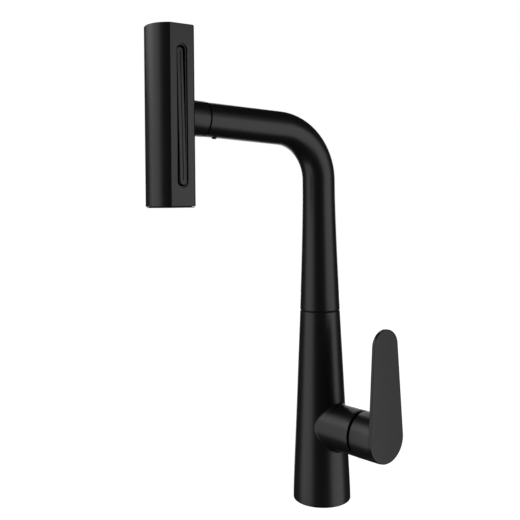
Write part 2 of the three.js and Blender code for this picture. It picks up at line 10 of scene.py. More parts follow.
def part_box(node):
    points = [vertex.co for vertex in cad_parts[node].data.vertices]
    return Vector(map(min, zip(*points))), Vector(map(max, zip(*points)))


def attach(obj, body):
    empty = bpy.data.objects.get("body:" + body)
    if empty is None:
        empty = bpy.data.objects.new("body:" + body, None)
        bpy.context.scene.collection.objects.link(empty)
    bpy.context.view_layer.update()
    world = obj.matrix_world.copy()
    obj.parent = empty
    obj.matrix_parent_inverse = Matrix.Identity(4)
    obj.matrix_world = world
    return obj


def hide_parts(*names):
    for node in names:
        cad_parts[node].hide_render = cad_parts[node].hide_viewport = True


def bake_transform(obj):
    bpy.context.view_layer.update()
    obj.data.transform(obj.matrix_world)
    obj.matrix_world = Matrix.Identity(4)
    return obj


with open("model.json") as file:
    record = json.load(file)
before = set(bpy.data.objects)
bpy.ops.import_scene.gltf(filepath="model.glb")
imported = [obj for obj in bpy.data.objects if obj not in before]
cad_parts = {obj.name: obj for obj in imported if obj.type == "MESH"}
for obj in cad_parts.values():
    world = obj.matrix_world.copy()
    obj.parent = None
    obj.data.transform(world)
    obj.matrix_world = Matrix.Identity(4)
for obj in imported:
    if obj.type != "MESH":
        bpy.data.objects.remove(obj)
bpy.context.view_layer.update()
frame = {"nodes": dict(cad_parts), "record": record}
scene = bpy.context.scene


# ---- Camera ----------------------------------------------------------------------------------
# A level camera in front of the faucet and to its right, at the height of the spray face. The
# frame is shifted down so that the foot and the top of the wand both stay upright in view.
LENS = 50.75
EYE = Vector((0.510, -0.395, 0.260))
LOOK = Vector((-0.8368, 0.5476, 0))
ROLL = -0.0105
camera_data = bpy.data.cameras.new("camera")
camera_data.lens = LENS
camera_data.shift_x = -0.0007
camera_data.shift_y = -0.1140
camera = bpy.data.objects.new("camera", camera_data)
camera.location = EYE
aim = LOOK.to_track_quat("-Z", "Y").to_matrix() @ Matrix.Rotation(ROLL, 3, "Z")
camera.rotation_euler = aim.to_euler()
scene.collection.objects.link(camera)
scene.camera = camera
scene.view_settings.view_transform = "Standard"


# ---- Studio ----------------------------------------------------------------------------------
# A pale worktop, two tall softboxes with fills above them at the sides and nothing overhead, so
# that a black round shape shows two soft bands with a dark middle. Two more light the back. The
# backdrop is white and lights nothing.
def nodes_of(owner):
    owner.use_nodes = True
    owner.node_tree.nodes.clear()
    return owner.node_tree.nodes, owner.node_tree.links


def softbox(name, azimuth, distance, width, height, middle, radiance):
    """An upright area light that faces the column from a direction given in degrees from +X."""
    light = bpy.data.lights.new(name, "AREA")
    light.shape = "RECTANGLE"
    light.size = width
    light.size_y = height
    light.energy = radiance * math.pi * width * height
    lamp = bpy.data.objects.new(name, light)
    away = Vector((math.cos(math.radians(azimuth)), math.sin(math.radians(azimuth)), 0))
    lamp.location = away * distance + Vector((0, 0, middle))
    lamp.rotation_euler = (-away).to_track_quat("-Z", "Y").to_euler()
    lamp.visible_camera = False
    scene.collection.objects.link(lamp)


softbox("right_softbox", azimuth=30, distance=1.4, width=1.5, height=1.9, middle=-0.2, radiance=1.3)
softbox("right_fill", azimuth=22, distance=1.45, width=0.8, height=1, middle=1.1, radiance=0.5)
softbox("left_softbox", azimuth=-103, distance=1.4, width=1.4, height=2.6, middle=0.45, radiance=1.15)
softbox("left_fill", azimuth=-130, distance=1.4, width=1.1, height=1.1, middle=1.15, radiance=1.1)
softbox("rear_strip", azimuth=130, distance=1.4, width=0.7, height=1, middle=0.15, radiance=0.9)
softbox("rear_softbox", azimuth=155, distance=1.4, width=0.5, height=1.8, middle=0.4, radiance=1.6)

DIM_ROOM = 0.02
world = bpy.data.worlds.new("studio")
scene.world = world
nodes, links = nodes_of(world)
backdrop = nodes.new("ShaderNodeBackground")
backdrop.inputs["Color"].default_value = (1, 1, 1, 1)
dim_room = nodes.new("ShaderNodeBackground")
dim_room.inputs["Color"].default_value = (1, 1, 1, 1)
dim_room.inputs["Strength"].default_value = DIM_ROOM
ray = nodes.new("ShaderNodeLightPath")
choose = nodes.new("ShaderNodeMixShader")
sky = nodes.new("ShaderNodeOutputWorld")
links.new(ray.outputs["Is Camera Ray"], choose.inputs["Fac"])
links.new(dim_room.outputs[0], choose.inputs[1])
links.new(backdrop.outputs[0], choose.inputs[2])
links.new(choose.outputs[0], sky.inputs["Surface"])

FLOOR_SIZE = 12
floor_mesh = bpy.data.meshes.new("worktop")
corners = [(x * FLOOR_SIZE, y * FLOOR_SIZE, 0) for x, y in ((-1, -1), (1, -1), (1, 1), (-1, 1))]
floor_mesh.from_pydata(corners, [], [(0, 1, 2, 3)])
floor = bpy.data.objects.new("worktop", floor_mesh)
floor.visible_glossy = False
floor.visible_diffuse = False
floor.visible_shadow = False
scene.collection.objects.link(floor)
pale = bpy.data.materials.new("pale_worktop")
nodes, links = nodes_of(pale)
surface = nodes.new("ShaderNodeBsdfPrincipled")
surface.inputs["Base Color"].default_value = (0.3, 0.3, 0.3, 1)
surface.inputs["Roughness"].default_value = 0.9
surface.inputs["Specular IOR Level"].default_value = 0
surface.inputs["Emission Color"].default_value = (1, 1, 1, 1)
surface.inputs["Emission Strength"].default_value = 1
output = nodes.new("ShaderNodeOutputMaterial")
links.new(surface.outputs[0], output.inputs["Surface"])
floor_mesh.materials.append(pale)


# ---- Body casting ----------------------------------------------------------------------------
# The conical lower body and the boss for the cartridge are one brass casting, powder coated
# matte black. A small fillet runs where the boss grows out of the cone.
MM = 0.001
BODY_OUTLINE = [(24.8, 0.5), (24.72, 6), (24.45, 15), (23.72, 32), (22.4, 58), (21.05, 85), (19.45, 120),
                (18.2, 146), (17.42, 163.4)]
BODY_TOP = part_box("base_body")[1].z / MM
BOSS_R = 19
BOSS_END = 49.4
BOSS_HEIGHT = 65.8
BOSS_START = -3
BOSS_YAW = math.radians(8.4)
CARTRIDGE_BORE = 14.4
CARTRIDGE_SEAT = 21
NUT_BORE = 16.6
NUT_SEAT = 43.5
BEARING_BORE = 14.4
BEARING_LEDGE = 120
SHANK_HOLE = 16.8
GASKET_GROOVE = (19.2, 22.2, 1.6)
FILLET = 3.2
RING_STEPS = 128


def smooth_profile(points, spacing):
    """A curve through [radius, height] points, eased at each point, with a point about every spacing."""
    out = []
    for i in range(len(points) - 1):
        p0, p1, p2, p3 = (Vector(points[max(0, min(len(points) - 1, i + k))]) for k in (-1, 0, 1, 2))
        steps = max(1, round((p2 - p1).length / spacing))
        for k in range(steps):
            t = k / steps
            a, b, c = p2 - p0, 2 * p0 - 5 * p1 + 4 * p2 - p3, 3 * p1 - p0 - 3 * p2 + p3
            out.append(tuple(p1 + 0.5 * t * (a + t * (b + t * c))))
    return out + [tuple(points[-1])]


def skin(rings, loop):
    """Points and faces of a skin through rings of points. A loop joins the last to the first."""
    count = len(rings[0])
    faces = []
    for i in range(len(rings) if loop else len(rings) - 1):
        a, b = i * count, (i + 1) % len(rings) * count
        faces += [(a + k, a + (k + 1) % count, b + (k + 1) % count, b + k) for k in range(count)]
    return [p for ring in rings for p in ring], faces


def solid(name, points, faces, sharp=38):
    """A closed mesh object from points in millimetres, faces outward, smooth up to the sharp angle."""
    mesh = bpy.data.meshes.new(name)
    mesh.from_pydata([Vector(p) * MM for p in points], [], faces)
    tidy = bmesh.new()
    tidy.from_mesh(mesh)
    bmesh.ops.remove_doubles(tidy, verts=tidy.verts, dist=1e-7)
    bmesh.ops.recalc_face_normals(tidy, faces=tidy.faces)
    tidy.to_mesh(mesh)
    tidy.free()
    mesh.shade_smooth()
    mesh.set_sharp_from_angle(angle=math.radians(sharp))
    piece = bpy.data.objects.new(name, mesh)
    scene.collection.objects.link(piece)
    return piece


def eased(profile, ease, loop):
    """The same outline with each real corner rounded by about ease."""
    out = []
    for i, here in enumerate(profile):
        before, after = Vector(profile[i - 1]), Vector(profile[(i + 1) % len(profile)])
        here = Vector(here)
        at_end = not loop and i in (0, len(profile) - 1)
        if at_end or ease == 0 or (here - before).angle(after - here, 0) < math.radians(20):
            out.append(tuple(here))
            continue
        start = here + (before - here).normalized() * min(ease, 0.45 * (before - here).length)
        end = here + (after - here).normalized() * min(ease, 0.45 * (after - here).length)
        for t in (0, 0.25, 0.5, 0.75, 1):
            out.append(tuple(start.lerp(here, t).lerp(here.lerp(end, t), t)))
    return out


def circle(radius, height, steps):
    """Points round the axis at a height."""
    turns = [2 * math.pi * k / steps for k in range(steps)]
    return [Vector((radius * math.cos(a), radius * math.sin(a), height)) for a in turns]


def turned(name, profile, place=Matrix(), ease=0.3, steps=RING_STEPS):
    """A turned piece from [radius, height] points. One that starts on the axis ends there too."""
    loop = profile[0][0] > 0
    rings = []
    for radius, height in eased(profile, ease, loop):
        rings.append([place @ point for point in circle(radius, height, steps)])
    return solid(name, *skin(rings, loop))


def joined(name, *parts):
    """Several closed shells as one piece."""
    shell = bmesh.new()
    for part in parts:
        shell.from_mesh(part.data)
        bpy.data.objects.remove(part)
    mesh = bpy.data.meshes.new(name)
    shell.to_mesh(mesh)
    shell.free()
    piece = bpy.data.objects.new(name, mesh)
    scene.collection.objects.link(piece)
    return piece


def finish_piece(piece, material, body, slot, *stands_for):
    piece.data.materials.clear()
    piece.data.materials.append(material)
    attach(piece, body)
    if stands_for:
        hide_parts(*stands_for)


def coated_metal():
    """Satin black powder coat: a very fine orange peel, and a slow drift in its gloss."""
    material = bpy.data.materials.new("black_powder_coat")
    nodes, links = nodes_of(material)
    place = nodes.new("ShaderNodeTexCoord")
    peel = nodes.new("ShaderNodeTexNoise")
    peel.inputs["Scale"].default_value = 1400
    peel.inputs["Detail"].default_value = 3
    bump = nodes.new("ShaderNodeBump")
    bump.inputs["Strength"].default_value = 0.10
    bump.inputs["Distance"].default_value = 0.00003
    drift = nodes.new("ShaderNodeTexNoise")
    drift.inputs["Scale"].default_value = 28
    drift.inputs["Detail"].default_value = 4
    gloss = nodes.new("ShaderNodeMapRange")
    gloss.inputs["To Min"].default_value = 0.31
    gloss.inputs["To Max"].default_value = 0.37
    tone = nodes.new("ShaderNodeMixRGB")
    tone.inputs["Color1"].default_value = (0.008, 0.008, 0.0083, 1)
    tone.inputs["Color2"].default_value = (0.011, 0.011, 0.0115, 1)
    coat = nodes.new("ShaderNodeBsdfPrincipled")
    coat.inputs["Specular IOR Level"].default_value = 0.5
    output = nodes.new("ShaderNodeOutputMaterial")
    for noise in (peel, drift):
        links.new(place.outputs["Object"], noise.inputs["Vector"])
    links.new(peel.outputs["Fac"], bump.inputs["Height"])
    links.new(drift.outputs["Fac"], gloss.inputs["Value"])
    links.new(drift.outputs["Fac"], tone.inputs["Fac"])
    links.new(tone.outputs["Color"], coat.inputs["Base Color"])
    links.new(gloss.outputs["Result"], coat.inputs["Roughness"])
    links.new(bump.outputs["Normal"], coat.inputs["Normal"])
    links.new(coat.outputs[0], output.inputs["Surface"])
    return material


def cone_radius(height):
    """The body's outer radius at a height, on straight lines between its outline's points."""
    for (r0, z0), (r1, z1) in zip(BODY_OUTLINE, BODY_OUTLINE[1:]):
        if height <= z1:
            return r0 + (r1 - r0) * max(0.0, height - z0) / (z1 - z0)
    return BODY_OUTLINE[-1][0]


# The side control's own axes: x down, y to the rear, z out along the boss.
SIDE = Matrix.Translation((0, 0, BOSS_HEIGHT)) @ Matrix.Rotation(BOSS_YAW, 4, "Z")
SIDE = SIDE @ Matrix.Translation((BOSS_START, 0, 0)) @ Matrix.Rotation(math.pi / 2, 4, "Y")


def boss_shell():
    """The boss with a rolling-ball fillet onto the cone, its bore, and a hidden root inside the cone."""
    columns = []
    for out in circle(1, 0, RING_STEPS):
        near, far = 0.0, BOSS_END
        for _ in range(40):
            middle = (near + far) / 2
            centre = SIDE @ (out * (BOSS_R + FILLET) + Vector((0, 0, middle)))
            if centre.xy.length < cone_radius(centre.z) + FILLET:
                near = middle
            else:
                far = middle
        ball = out * (BOSS_R + FILLET) + Vector((0, 0, near))
        centre = SIDE @ ball
        cone_normal = SIDE.to_3x3().inverted() @ Vector((centre.x, centre.y, 0)).normalized()
        arc = [ball + FILLET * (-cone_normal).slerp(-out, t / 10) for t in range(11)]
        root = [Vector((0, 0, 7)), out * 12 + Vector((0, 0, 7))]
        reach = BOSS_END - 0.4 - near
        wall = [out * BOSS_R + Vector((0, 0, near + reach * t / 8)) for t in range(1, 9)]
        lip = [(BOSS_R - 0.1, BOSS_END - 0.12), (BOSS_R - 0.4, BOSS_END), (NUT_BORE + 0.1, BOSS_END),
               (NUT_BORE, BOSS_END - 0.1), (NUT_BORE, NUT_SEAT), (CARTRIDGE_BORE, NUT_SEAT),
               (CARTRIDGE_BORE, CARTRIDGE_SEAT), (0, CARTRIDGE_SEAT)]
        bore = [out * radius + Vector((0, 0, along)) for radius, along in lip]
        columns.append([SIDE @ p for p in root + arc + wall + bore])
    rings = [list(ring) for ring in zip(*columns)]
    return solid("boss", *skin(rings, loop=False))


groove_in, groove_out, groove_top = GASKET_GROOVE
body_inside = [(BEARING_BORE, BODY_TOP), (BEARING_BORE, BEARING_LEDGE), (12, BEARING_LEDGE), (12, 112),
               (16.4, 112), (19.8, 20), (SHANK_HOLE, 15), (SHANK_HOLE, 0), (groove_in, 0),
               (groove_in, groove_top), (groove_out, groove_top), (groove_out, 0), (24.3, 0)]
cone = turned("cone", smooth_profile(BODY_OUTLINE, 4) + [(17.15, BODY_TOP)] + body_inside, ease=0.25)
coat = coated_metal()
body_casting = joined("body_casting", cone, boss_shell())
finish_piece(body_casting, coat, "base", "black_coat", "base_body")


# ---- Foot gasket and seam washer -------------------------------------------------------------
# Black rubber rings: one in a groove under the foot, one thin one that lets the spout turn on
# the body and shows only as a fine line.
def moulded(name, colour, roughness, grain=900, relief=0.06, sheen=0.0):
    """Moulded plastic or rubber with a fine grain and slightly uneven gloss."""
    material = bpy.data.materials.new(name)
    nodes, links = nodes_of(material)
    place = nodes.new("ShaderNodeTexCoord")
    noise = nodes.new("ShaderNodeTexNoise")
    noise.inputs["Scale"].default_value = grain
    noise.inputs["Detail"].default_value = 4
    bump = nodes.new("ShaderNodeBump")
    bump.inputs["Strength"].default_value = relief
    bump.inputs["Distance"].default_value = 0.00005
    gloss = nodes.new("ShaderNodeMapRange")
    gloss.inputs["To Min"].default_value = roughness - 0.06
    gloss.inputs["To Max"].default_value = roughness + 0.06
    tone = nodes.new("ShaderNodeMixRGB")
    tone.inputs["Color1"].default_value = (*[c * 0.88 for c in colour], 1)
    tone.inputs["Color2"].default_value = (*[min(1, c * 1.1) for c in colour], 1)
    body = nodes.new("ShaderNodeBsdfPrincipled")
    body.inputs["Sheen Weight"].default_value = sheen
    output = nodes.new("ShaderNodeOutputMaterial")
    links.new(place.outputs["Object"], noise.inputs["Vector"])
    links.new(noise.outputs["Fac"], bump.inputs["Height"])
    links.new(noise.outputs["Fac"], gloss.inputs["Value"])
    links.new(noise.outputs["Fac"], tone.inputs["Fac"])
    links.new(tone.outputs["Color"], body.inputs["Base Color"])
    links.new(gloss.outputs["Result"], body.inputs["Roughness"])
    links.new(bump.outputs["Normal"], body.inputs["Normal"])
    links.new(body.outputs[0], output.inputs["Surface"])
    return material


def ring_piece(name, inner, outer, low, high, place=Matrix(), ease=0.3):
    return turned(name, [(inner, low), (outer, low), (outer, high), (inner, high)], place, ease)


rubber = moulded("black_rubber", (0.012, 0.012, 0.012), 0.72, grain=500)
foot_gasket = ring_piece("foot_gasket", 19.5, 21.9, 0, 1.3)
finish_piece(foot_gasket, rubber, "base", "rubber", "base_gasket")
swivel_washer = ring_piece("swivel_washer", 13, 16.6, 164, 164.4, ease=0.1)
finish_piece(swivel_washer, rubber, "base", "rubber", "seam_washer")


# ---- Spout -----------------------------------------------------------------------------------
# One drawn brass tube: it narrows up the column, bends through almost a right angle and runs
# out to the mouth, where the wand docks. It is coated like the body.
SPOUT_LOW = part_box("spout_tube")[0].z / MM
SPOUT_OUTLINE = [(17.36, SPOUT_LOW + 0.3), (16.35, 190), (15.42, 215), (14.65, 240), (14.18, 262)]
BEND_START = 277.3
BEND_RADIUS = 44
ARM_RISE = math.radians(2.86)
ARM_LENGTH = 72.3
TUBE_R = 14.1
TUBE_WALL = 2
MOUTH_TAPER = 0.35
BEND_ANGLE = math.pi / 2 - ARM_RISE
COLUMN_LENGTH = BEND_START - SPOUT_LOW
BEND_LENGTH = BEND_RADIUS * BEND_ANGLE
SPOUT_LENGTH = COLUMN_LENGTH + BEND_LENGTH + ARM_LENGTH


def on_centreline(along):
    """Where the spout's centreline is after a length from the seam, as a matrix whose z runs along it."""
    turn = max(0.0, min(BEND_ANGLE, (along - COLUMN_LENGTH) / BEND_RADIUS))
    out = max(0.0, along - COLUMN_LENGTH - BEND_LENGTH)
    up = min(along, COLUMN_LENGTH)
    point = Vector((0, -BEND_RADIUS * (1 - math.cos(turn)), SPOUT_LOW + up))
    point.z += BEND_RADIUS * math.sin(turn)
    point += out * Vector((0, -math.sin(turn), math.cos(turn)))
    return Matrix.Translation(point) @ Matrix.Rotation(turn, 4, "X")


def along_spout(name, profile, steps=RING_STEPS, loop=True):
    """A round piece from [radius, length along the centreline] points."""
    rings = []
    for radius, along in profile:
        place = on_centreline(along)
        rings.append([place @ point for point in circle(radius, 0, steps)])
    return solid(name, *skin(rings, loop))


ARM = on_centreline(SPOUT_LENGTH)
column = [(radius, height - SPOUT_LOW) for radius, height in smooth_profile(SPOUT_OUTLINE, 4)]
bend = [(TUBE_R, COLUMN_LENGTH + BEND_LENGTH * k / 48) for k in range(49)]
arm_start = SPOUT_LENGTH - ARM_LENGTH
arm = []
for share in [k / 12 for k in range(1, 13)]:
    arm.append((TUBE_R - MOUTH_TAPER * share, arm_start + (ARM_LENGTH - MOUTH_TAPER) * share))
spout_outside = column + bend + arm
spout_inside = [(radius - TUBE_WALL, along) for radius, along in reversed(spout_outside)]
ends = [(13.4, SPOUT_LENGTH), (11.75, SPOUT_LENGTH)]
foot = [(15.3, 0), (17.1, 0)]
spout = along_spout("spout_casting", spout_outside + ends + spout_inside + foot)
finish_piece(spout, coat, "spout", "black_coat", "spout_tube")


# ---- Wand shell ------------------------------------------------------------------------------
# The spray head's body is a moulded shell with a round front, flat sides and a back that the
# neck leaves from. A long shallow pill-shaped recess in its +X side holds the rocker's slot.
HEAD_BACK = -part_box("head_shell")[1].y / MM
HEAD_TIP = -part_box("head_shell")[0].y / MM
HEAD_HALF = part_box("head_shell")[1].x / MM
HEAD_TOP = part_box("head_shell")[1].z / MM
SHELL_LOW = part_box("head_shell")[0].z / MM
HEAD_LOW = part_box("spray_face")[0].z / MM
HEAD_FRONT_R = 20.2
HEAD_CORNER = 2.5
RECESS_AT = 142.3
RECESS_WIDTH = 9.2
RECESS_LENGTH = 108.8
RECESS_SHELF = 16.8
SLOT_WIDTH = 6.8
SLOT_LENGTH = 106.6
SLOT_FLOOR = 10.9
SLOT_WALL = 1.8
SHELL_WALL = 2.2
SHELL_ROOF = 2.4
HEAD_MID = (HEAD_LOW + HEAD_TOP) / 2


def arc_points(centre, radius, start, end, steps):
    """Points on an arc, its angles in radians."""
    turns = [start + (end - start) * k / steps for k in range(steps + 1)]
    return [(centre[0] + radius * math.cos(a), centre[1] + radius * math.sin(a)) for a in turns]


def head_outline(inset):
    """The head seen from above, counter-clockwise, drawn inset from its outer surface."""
    half = HEAD_HALF - inset
    corner = HEAD_CORNER - min(inset, HEAD_CORNER - 0.4)
    radius = HEAD_FRONT_R - inset
    turn = math.asin(half / radius)
    back = -HEAD_BACK - inset - corner
    right = arc_points((half - corner, back), corner, 0, math.pi / 2, 6)
    left = arc_points((-half + corner, back), corner, math.pi / 2, math.pi, 6)
    middle = (0, HEAD_FRONT_R - HEAD_TIP)
    front = arc_points(middle, radius, -math.pi / 2 - turn, -math.pi / 2 + turn, 64)
    return right + left + front


def head_within(margin):
    """outline_at for the head's outline drawn in by a margin."""
    return lambda inset: head_outline(margin + inset)


def prism(name, outline_at, low, high, ease=0.5, place=Matrix(), cap=0.6):
    """An upright solid; outline_at(inset) gives its outline, and the top and bottom edges are rounded."""
    levels = []
    for k in range(5):
        a = math.pi / 2 * k / 4
        levels.append((ease * (1 - math.sin(a)), ease * (1 - math.cos(a))))
    profile = [(ease + cap, low), *[(inset, low + rise) for inset, rise in levels]]
    profile += [(inset, high - rise) for inset, rise in reversed(levels)] + [(ease + cap, high)]
    rings = [[place @ Vector((x, y, z)) for x, y in outline_at(inset)] for inset, z in profile]
    points, faces = skin(rings, loop=False)
    count = len(rings[0])
    faces += [tuple(range(count)), tuple(range(len(points) - count, len(points)))]
    return solid(name, points, faces)


def welded(mesh, reach=0.004):
    """Joins points closer than reach and drops the slivers between them, to keep the surface closed."""
    seam = bmesh.new()
    seam.from_mesh(mesh)
    bmesh.ops.remove_doubles(seam, verts=seam.verts, dist=reach * MM)
    bmesh.ops.dissolve_degenerate(seam, edges=seam.edges, dist=reach * MM)
    bmesh.ops.recalc_face_normals(seam, faces=seam.faces)
    seam.to_mesh(mesh)
    seam.free()
    return mesh


def boolean(piece, operation, *others):
    """Cuts the others from the piece or fuses them to it, and keeps the result as a plain mesh."""
    for other in others:
        step = piece.modifiers.new("step", "BOOLEAN")
        step.operation = operation
        step.solver = "EXACT"
        step.object = other
    result = bpy.data.meshes.new_from_object(piece.evaluated_get(bpy.context.evaluated_depsgraph_get()))
    piece.modifiers.clear()
    piece.data = welded(result)
    for other in others:
        bpy.data.objects.remove(other)
    return piece


def softened(piece, width, segments=3, limit=50):
    """Rounds a piece's sharp edges a little and evens its shading, and keeps a plain mesh."""
    bevel = piece.modifiers.new("bevel", "BEVEL")
    bevel.width = width * MM
    bevel.segments = segments
    bevel.limit_method = "ANGLE"
    bevel.angle_limit = math.radians(limit)
    bevel.use_clamp_overlap = True
    even = piece.modifiers.new("even", "WEIGHTED_NORMAL")
    even.keep_sharp = False
    result = bpy.data.meshes.new_from_object(piece.evaluated_get(bpy.context.evaluated_depsgraph_get()))
    piece.modifiers.clear()
    piece.data = result
    return piece


def pill_outline(width, length):
    """outline_at for an upright pill, long along its own x."""
    def outline(inset):
        radius, reach = width / 2 - inset, (length - width) / 2
        ends = arc_points((reach, 0), radius, -math.pi / 2, math.pi / 2, 24)
        return ends + arc_points((-reach, 0), radius, math.pi / 2, 1.5 * math.pi, 24)
    return outline


def rod(name, radius, low, high, place=Matrix(), steps=RING_STEPS):
    """A plain cylinder to drill with."""
    return turned(name, [(0, low), (radius, low), (radius, high), (0, high)], place, 0, steps)


# Lays a pill's thickness along X and its length up the head's side.
UPRIGHT = Matrix.Translation((0, -RECESS_AT, HEAD_MID)) @ Matrix.Rotation(math.pi / 2, 4, "Y")

shell = prism("wand_shell", head_outline, SHELL_LOW, HEAD_TOP, ease=0.7)
hollow = prism("hollow", head_within(SHELL_WALL), SHELL_LOW - 3, HEAD_TOP - SHELL_ROOF, ease=0.4)
backing_outline = pill_outline(RECESS_WIDTH + 3, RECESS_LENGTH + 3)
backing = prism("backing", backing_outline, SLOT_FLOOR - SLOT_WALL, 19, 0.2, UPRIGHT)
boolean(hollow, "DIFFERENCE", backing)
recess = prism("recess", pill_outline(RECESS_WIDTH, RECESS_LENGTH), RECESS_SHELF, 21, 0.3, UPRIGHT)
slot = prism("slot", pill_outline(SLOT_WIDTH, SLOT_LENGTH), SLOT_FLOOR, RECESS_SHELF + 1, 0.3, UPRIGHT)
neck_hole = rod("neck_hole", 8.8, 13, 22, ARM)
softened(boolean(shell, "DIFFERENCE", hollow, recess, slot, neck_hole), 0.3)
finish_piece(shell, coat, "head", "black_coat", "head_shell")


# ---- Spray face and nozzles ------------------------------------------------------------------
# A plastic plate closes the wand's lower end. Soft rubber nozzles moulded on one mat stand
# through its holes in an arc round the aerator.
TRUNK_AT = 146.4
NOZZLES = 9
NOZZLE_REACH = 12.9
NOZZLE_NARROW = 12 / 12.9
NOZZLE_FIRST = math.radians(-205)
NOZZLE_STEP = math.radians(230 / 8)
NOZZLE_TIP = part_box("nozzle_mat")[0].z / MM
MAT_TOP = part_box("nozzle_mat")[1].z / MM
PLATE_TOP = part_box("spray_face")[1].z / MM
NOZZLE_R = 0.9
NOZZLE_BORE = 0.4
LIP_INSET = 0.9
PLUG_INSET = 2.6
MAT_INSET = 3.2
MAT_THICK = 1.5
HOLE_R = 1.3
AERATOR_HOLE = 8.9


def tree(name, **sizes):
    """A node tree with named inputs: its group, the inputs' sockets, a way to add nodes, and its end."""
    group = bpy.data.node_groups.new(name, "GeometryNodeTree")
    group.interface.new_socket("Geometry", in_out="OUTPUT", socket_type="NodeSocketGeometry")
    for label, kind in sizes.items():
        group.interface.new_socket(label, in_out="INPUT", socket_type="NodeSocket" + kind)
    group.interface.new_socket("Material", in_out="INPUT", socket_type="NodeSocketMaterial")
    entry = group.nodes.new("NodeGroupInput")

    def add(kind, *values, operation=None, **named):
        node = group.nodes.new(kind)
        if operation:
            node.operation = operation
        for label, value in [*enumerate(values), *named.items()]:
            socket = node.inputs[label if isinstance(label, int) else label.replace("_", " ")]
            if isinstance(value, bpy.types.NodeSocket):
                group.links.new(value, socket)
            else:
                socket.default_value = value
        return node.outputs[0]

    def end(*shapes):
        both = group.nodes.new("GeometryNodeJoinGeometry")
        for shape in shapes:
            group.links.new(shape, both.inputs[0])
        whole = add("GeometryNodeRealizeInstances", both.outputs[0])
        painted = add("GeometryNodeSetMaterial", whole, Material=entry.outputs["Material"])
        group.links.new(painted, group.nodes.new("NodeGroupOutput").inputs["Geometry"])
        return group

    return entry.outputs, add, end


def grown(name, group, **sizes):
    """The plain mesh that a node tree makes with these sizes."""
    piece = bpy.data.objects.new(name, bpy.data.meshes.new(name))
    scene.collection.objects.link(piece)
    live = piece.modifiers.new("grown", "NODES")
    live.node_group = group
    for socket in group.interface.items_tree:
        if socket.in_out == "INPUT":
            live[socket.identifier] = sizes[socket.name]
    result = bpy.data.meshes.new_from_object(piece.evaluated_get(bpy.context.evaluated_depsgraph_get()))
    piece.modifiers.clear()
    piece.data = result
    return piece


def arc_tree():
    """Copies of one item at even steps along an arc that is a little narrower one way than the other."""
    size, add, end = tree("items_on_an_arc", Count="Int", Reach="Float", Narrow="Float", First="Float",
                          Step="Float", Centre="Vector", Item="Object")
    points = add("GeometryNodeMeshLine", Count=size["Count"])
    turned_by = add("ShaderNodeMath", add("GeometryNodeInputIndex"), size["Step"], size["First"],
                    operation="MULTIPLY_ADD")
    across = add("ShaderNodeMath", turned_by, operation="COSINE")
    along = add("ShaderNodeMath", add("ShaderNodeMath", turned_by, operation="SINE"), size["Narrow"],
                operation="MULTIPLY")
    spot = add("ShaderNodeVectorMath", add("ShaderNodeCombineXYZ", across, along), Scale=size["Reach"],
               operation="SCALE")
    place = add("ShaderNodeVectorMath", spot, size["Centre"], operation="ADD")
    spread = add("GeometryNodeSetPosition", points, Position=place)
    item = add("GeometryNodeObjectInfo", Object=size["Item"]).node.outputs["Geometry"]
    return end(add("GeometryNodeInstanceOnPoints", spread, Instance=item))


def on_nozzle_arc(name, item, material):
    piece = grown(name, arc_items, Count=NOZZLES, Reach=NOZZLE_REACH * MM, Narrow=NOZZLE_NARROW,
                  First=NOZZLE_FIRST, Step=NOZZLE_STEP, Centre=(0, -TRUNK_AT * MM, 0), Item=item,
                  Material=material)
    bpy.data.objects.remove(item)
    return piece


plastic = moulded("black_plastic", (0.015, 0.015, 0.016), 0.5, grain=700)
arc_items = arc_tree()
AT_TRUNK = Matrix.Translation((0, -TRUNK_AT, 0))
BELOW, ABOVE = 250, 262
lip = prism("spray_plate", head_within(LIP_INSET), HEAD_LOW, HEAD_LOW + 0.6, ease=0.25)
plug_core = prism("plug_core", head_within(PLUG_INSET), HEAD_LOW + 0.4, PLATE_TOP, ease=0.3)
aerator_hole = rod("aerator_hole", AERATOR_HOLE, BELOW, ABOVE, AT_TRUNK)
drill = rod("drill", HOLE_R, BELOW, ABOVE, steps=24)
nozzle_holes = on_nozzle_arc("nozzle_holes", drill, plastic)
spray_plate = boolean(boolean(lip, "UNION", plug_core), "DIFFERENCE", aerator_hole, nozzle_holes)
finish_piece(softened(spray_plate, 0.12, 2), plastic, "head", "black_plastic", "spray_face")

nib_profile = [(NOZZLE_BORE, NOZZLE_TIP + 0.7), (0.55, NOZZLE_TIP), (0.72, NOZZLE_TIP),
               (NOZZLE_R, NOZZLE_TIP + 0.9), (NOZZLE_R, 259.2), (NOZZLE_R, MAT_TOP - 0.3),
               (NOZZLE_BORE, MAT_TOP - 0.3)]
nibs = on_nozzle_arc("nibs", turned("nib", nib_profile, ease=0.08, steps=20), rubber)
sheet = prism("nozzle_sheet", head_within(MAT_INSET), MAT_TOP - MAT_THICK, MAT_TOP, ease=0.2)
mat_hole = rod("mat_hole", AERATOR_HOLE, BELOW, ABOVE, AT_TRUNK)
nozzles = joined("rubber_nozzles", boolean(sheet, "DIFFERENCE", mat_hole), nibs)
finish_piece(nozzles, rubber, "head", "rubber", "nozzle_mat")


